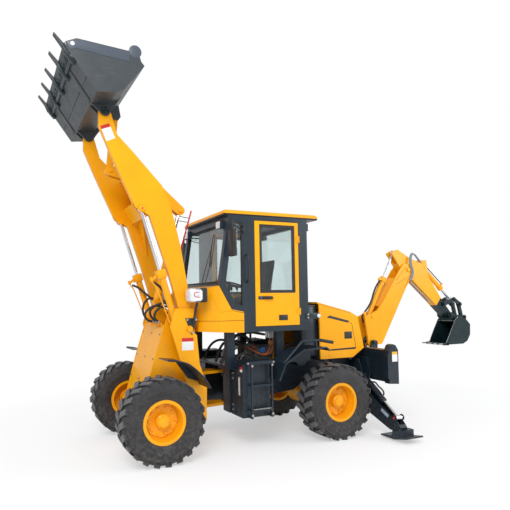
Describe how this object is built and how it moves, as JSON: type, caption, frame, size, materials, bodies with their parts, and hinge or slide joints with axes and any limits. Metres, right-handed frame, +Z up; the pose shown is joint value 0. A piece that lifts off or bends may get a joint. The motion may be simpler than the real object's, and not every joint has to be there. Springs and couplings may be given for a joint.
{
  "type": "backhoe loader",
  "caption": "Articulated backhoe loader with raised loader arms, cab, rear engine hood, transverse stabilisers and a swinging backhoe.",
  "frame": {"origin": "on the ground, under the middle of the machine's length and width", "axes": "+X forward, out of the loader bucket's end; +Y to the machine's left; +Z up"},
  "size_m": [7.7065, 3.28, 5.211],
  "materials": {
    "orange_paint": "gloss",
    "navy_paint": "satin",
    "slate_paint": "worn satin",
    "dark_green_paint": "satin",
    "chrome": "polished",
    "black_plastic": "matte",
    "seat_fabric": "matte",
    "glazing": "clear",
    "tyre_rubber": "matte",
    "engine_iron": "rough"
  },
  "bodies": {
    "rear_frame": {"rear_chassis": "navy_paint", "rear_axle": "navy_paint", "engine_block": "engine_iron", "hood": "orange_paint", "cab_frame": "navy_paint", "cab_roof": "orange_paint", "cab_cowl": "orange_paint", "cab_glass": "glazing", "seat_base": "black_plastic", "seat_cushion": "seat_fabric", "steering_wheel": "black_plastic", "mirrors": "black_plastic", "side_boxes": "navy_paint", "rear_fenders": "black_plastic", "hoe_frame": "navy_paint", "stabiliser_housings": "navy_paint", "swing_bracket": "navy_paint"},
    "front_frame": {"front_frame": "orange_paint", "front_axle": "navy_paint", "front_fenders": "black_plastic", "headlamps": "black_plastic"},
    "lift_arms": {"lift_arms": "orange_paint"},
    "lift_cylinders": {"lift_cylinders": "orange_paint"},
    "lift_rods": {"lift_rods": "chrome"},
    "loader_bucket": {"loader_bucket": "slate_paint"},
    "tilt_rocker": {"tilt_rocker": "orange_paint"},
    "tilt_link": {"tilt_link": "orange_paint"},
    "tilt_cylinder": {"tilt_cylinder": "orange_paint"},
    "tilt_rod": {"tilt_rod": "chrome"},
    "swing_post": {"swing_post": "navy_paint"},
    "boom": {"boom": "orange_paint"},
    "dipper": {"dipper": "orange_paint"},
    "boom_cylinder": {"boom_cylinder": "orange_paint"},
    "boom_rod": {"boom_rod": "chrome"},
    "crowd_cylinder": {"crowd_cylinder": "orange_paint"},
    "crowd_rod": {"crowd_rod": "chrome"},
    "hoe_cylinder": {"hoe_cylinder": "orange_paint"},
    "hoe_rod": {"hoe_rod": "chrome"},
    "hoe_lever": {"hoe_lever": "dark_green_paint"},
    "hoe_link": {"hoe_link": "dark_green_paint"},
    "hoe_bucket": {"hoe_bucket": "dark_green_paint"},
    "wheel_front_left": {"tyre_front_left": "tyre_rubber", "rim_front_left": "orange_paint"},
    "wheel_front_right": {"tyre_front_right": "tyre_rubber", "rim_front_right": "orange_paint"},
    "wheel_rear_left": {"tyre_rear_left": "tyre_rubber", "rim_rear_left": "orange_paint"},
    "wheel_rear_right": {"tyre_rear_right": "tyre_rubber", "rim_rear_right": "orange_paint"},
    "door_left": {"cab_door_left": "orange_paint", "door_glass_left": "glazing"},
    "stabiliser_leg_left": {"stabiliser_leg_left": "navy_paint"},
    "stabiliser_cylinder_left": {"stabiliser_cylinder_left": "orange_paint"},
    "stabiliser_rod_left": {"stabiliser_rod_left": "chrome"},
    "door_right": {"cab_door_right": "orange_paint", "door_glass_right": "glazing"},
    "stabiliser_leg_right": {"stabiliser_leg_right": "navy_paint"},
    "stabiliser_cylinder_right": {"stabiliser_cylinder_right": "orange_paint"},
    "stabiliser_rod_right": {"stabiliser_rod_right": "chrome"}
  },
  "joints": [
    {"name": "steering", "type": "hinge", "parent": "rear_frame", "child": "front_frame", "pos_m": [1.1975, 0, 0.7], "axis": [0, 0, 1], "range_deg": [-30, 30]},
    {"name": "spin_front_left", "type": "hinge", "parent": "front_frame", "child": "wheel_front_left", "pos_m": [2.53, 0.864, 0.5375], "axis": [0, 1, 0], "continuous": true},
    {"name": "spin_front_right", "type": "hinge", "parent": "front_frame", "child": "wheel_front_right", "pos_m": [2.53, -0.864, 0.5375], "axis": [0, 1, 0], "continuous": true},
    {"name": "spin_rear_left", "type": "hinge", "parent": "rear_frame", "child": "wheel_rear_left", "pos_m": [-0.135, 0.864, 0.5375], "axis": [0, 1, 0], "continuous": true},
    {"name": "spin_rear_right", "type": "hinge", "parent": "rear_frame", "child": "wheel_rear_right", "pos_m": [-0.135, -0.864, 0.5375], "axis": [0, 1, 0], "continuous": true},
    {"name": "arm_lift", "type": "hinge", "parent": "front_frame", "child": "lift_arms", "pos_m": [2.055, 0, 1.64], "axis": [0, 1, 0], "range_deg": [0, 95.8]},
    {"name": "lift_cylinder_swing", "type": "hinge", "parent": "front_frame", "child": "lift_cylinders", "pos_m": [2.055, 0, 1.21], "axis": [0, 1, 0], "range_deg": [-1, 85]},
    {"name": "lift_rod_slide", "type": "slide", "parent": "lift_cylinders", "child": "lift_rods", "axis": [0.2992, 0, 0.9542], "range_m": [-0.52, 0.01]},
    {"name": "bucket_tilt", "type": "hinge", "parent": "lift_arms", "child": "loader_bucket", "pos_m": [3.178, 0, 4.478], "axis": [0, 1, 0], "range_deg": [-35, 70]},
    {"name": "rocker_turn", "type": "hinge", "parent": "lift_arms", "child": "tilt_rocker", "pos_m": [2.53, 0, 3.8], "axis": [0, 1, 0], "range_deg": [-26, 14]},
    {"name": "tilt_link_swing", "type": "hinge", "parent": "loader_bucket", "child": "tilt_link", "pos_m": [2.915, 0, 4.655], "axis": [0, 1, 0], "range_deg": [-50, 26]},
    {"name": "tilt_cylinder_swing", "type": "hinge", "parent": "front_frame", "child": "tilt_cylinder", "pos_m": [2.31, 0, 2], "axis": [0, 1, 0], "range_deg": [-1, 123]},
    {"name": "tilt_rod_slide", "type": "slide", "parent": "tilt_cylinder", "child": "tilt_rod", "axis": [-0.2568, 0, 0.9665], "range_m": [-0.27, 0.14]},
    {"name": "hoe_swing", "type": "hinge", "parent": "rear_frame", "child": "swing_post", "pos_m": [-1.35, 0, 0.95], "axis": [0, 0, 1], "range_deg": [-75, 75]},
    {"name": "boom_raise", "type": "hinge", "parent": "swing_post", "child": "boom", "pos_m": [-1.55, 0, 1.27], "axis": [0, 1, 0], "range_deg": [-75, 25]},
    {"name": "boom_cylinder_swing", "type": "hinge", "parent": "swing_post", "child": "boom_cylinder", "pos_m": [-1.5, 0, 0.86], "axis": [0, 1, 0], "range_deg": [-42, 15]},
    {"name": "boom_rod_slide", "type": "slide", "parent": "boom_cylinder", "child": "boom_rod", "axis": [-0.4662, 0, 0.8847], "range_m": [-0.31, 0.11]},
    {"name": "dipper_reach", "type": "hinge", "parent": "boom", "child": "dipper", "pos_m": [-2.42, 0, 2.53], "axis": [0, 1, 0], "range_deg": [-40, 55]},
    {"name": "crowd_cylinder_swing", "type": "hinge", "parent": "boom", "child": "crowd_cylinder", "pos_m": [-1.56, 0, 1.7], "axis": [0, 1, 0], "range_deg": [-5, 6]},
    {"name": "crowd_rod_slide", "type": "slide", "parent": "crowd_cylinder", "child": "crowd_rod", "axis": [-0.475, 0, 0.88], "range_m": [-0.35, 0.26]},
    {"name": "bucket_curl", "type": "hinge", "parent": "dipper", "child": "hoe_bucket", "pos_m": [-3.43, 0, 1.69], "axis": [0, 1, 0], "range_deg": [-75, 45]},
    {"name": "lever_turn", "type": "hinge", "parent": "dipper", "child": "hoe_lever", "pos_m": [-3.3, 0, 1.9], "axis": [0, 1, 0], "range_deg": [-59, 36]},
    {"name": "hoe_link_swing", "type": "hinge", "parent": "hoe_bucket", "child": "hoe_link", "pos_m": [-3.775, 0, 1.645], "axis": [0, 1, 0], "range_deg": [-35, 57]},
    {"name": "hoe_cylinder_swing", "type": "hinge", "parent": "dipper", "child": "hoe_cylinder", "pos_m": [-2.87, 0, 2.6], "axis": [0, 1, 0], "range_deg": [-11, 8]},
    {"name": "hoe_rod_slide", "type": "slide", "parent": "hoe_cylinder", "child": "hoe_rod", "axis": [-0.7465, 0, -0.6654], "range_m": [-0.13, 0.21]},
    {"name": "stabiliser_fold_left", "type": "hinge", "parent": "rear_frame", "child": "stabiliser_leg_left", "pos_m": [-0.9, 0.5, 0.48], "axis": [1, 0, 0], "range_deg": [-6, 52]},
    {"name": "stabiliser_cylinder_swing_left", "type": "hinge", "parent": "rear_frame", "child": "stabiliser_cylinder_left", "pos_m": [-0.9, 0.6, 0.81], "axis": [1, 0, 0], "range_deg": [-8, 59]},
    {"name": "stabiliser_rod_slide_left", "type": "slide", "parent": "stabiliser_cylinder_left", "child": "stabiliser_rod_left", "axis": [0, 0.8198, -0.5727], "range_m": [-0.29, 0.04]},
    {"name": "stabiliser_fold_right", "type": "hinge", "parent": "rear_frame", "child": "stabiliser_leg_right", "pos_m": [-0.9, -0.5, 0.48], "axis": [-1, 0, 0], "range_deg": [-6, 52]},
    {"name": "stabiliser_cylinder_swing_right", "type": "hinge", "parent": "rear_frame", "child": "stabiliser_cylinder_right", "pos_m": [-0.9, -0.6, 0.81], "axis": [-1, 0, 0], "range_deg": [-8, 59]},
    {"name": "stabiliser_rod_slide_right", "type": "slide", "parent": "stabiliser_cylinder_right", "child": "stabiliser_rod_right", "axis": [0, -0.8198, -0.5727], "range_m": [-0.29, 0.04]},
    {"name": "door_left_hinge", "type": "hinge", "parent": "rear_frame", "child": "door_left", "pos_m": [0.375, 0.792, 2.4], "axis": [0, 0, 1], "range_deg": [0, 80]},
    {"name": "door_right_hinge", "type": "hinge", "parent": "rear_frame", "child": "door_right", "pos_m": [0.375, -0.792, 2.4], "axis": [0, 0, -1], "range_deg": [0, 80]}
  ],
  "couplings": [
    {"joint": "lift_cylinder_swing", "follows": "arm_lift", "ratio": 0.8742},
    {"joint": "lift_rod_slide", "follows": "arm_lift", "m_per_rad": -0.3079},
    {"joint": "rocker_turn", "follows": "bucket_tilt", "ratio": -0.3468},
    {"joint": "tilt_link_swing", "follows": "bucket_tilt", "ratio": -0.6915},
    {"joint": "tilt_cylinder_swing", "follows": "arm_lift", "ratio": 1.27},
    {"joint": "tilt_rod_slide", "follows": "bucket_tilt", "m_per_rad": -0.2108},
    {"joint": "boom_cylinder_swing", "follows": "boom_raise", "ratio": 0.5488},
    {"joint": "boom_rod_slide", "follows": "boom_raise", "m_per_rad": 0.226},
    {"joint": "crowd_cylinder_swing", "follows": "dipper_reach", "ratio": 0.0764},
    {"joint": "crowd_rod_slide", "follows": "dipper_reach", "m_per_rad": -0.3525},
    {"joint": "lever_turn", "follows": "bucket_curl", "ratio": 0.7682},
    {"joint": "hoe_link_swing", "follows": "bucket_curl", "ratio": -0.7383},
    {"joint": "hoe_cylinder_swing", "follows": "bucket_curl", "ratio": 0.134},
    {"joint": "hoe_rod_slide", "follows": "bucket_curl", "m_per_rad": -0.1551},
    {"joint": "stabiliser_cylinder_swing_left", "follows": "stabiliser_fold_left", "ratio": 1.1034},
    {"joint": "stabiliser_rod_slide_left", "follows": "stabiliser_fold_left", "m_per_rad": -0.3107},
    {"joint": "stabiliser_cylinder_swing_right", "follows": "stabiliser_fold_right", "ratio": 1.1034},
    {"joint": "stabiliser_rod_slide_right", "follows": "stabiliser_fold_right", "m_per_rad": -0.3107}
  ]
}
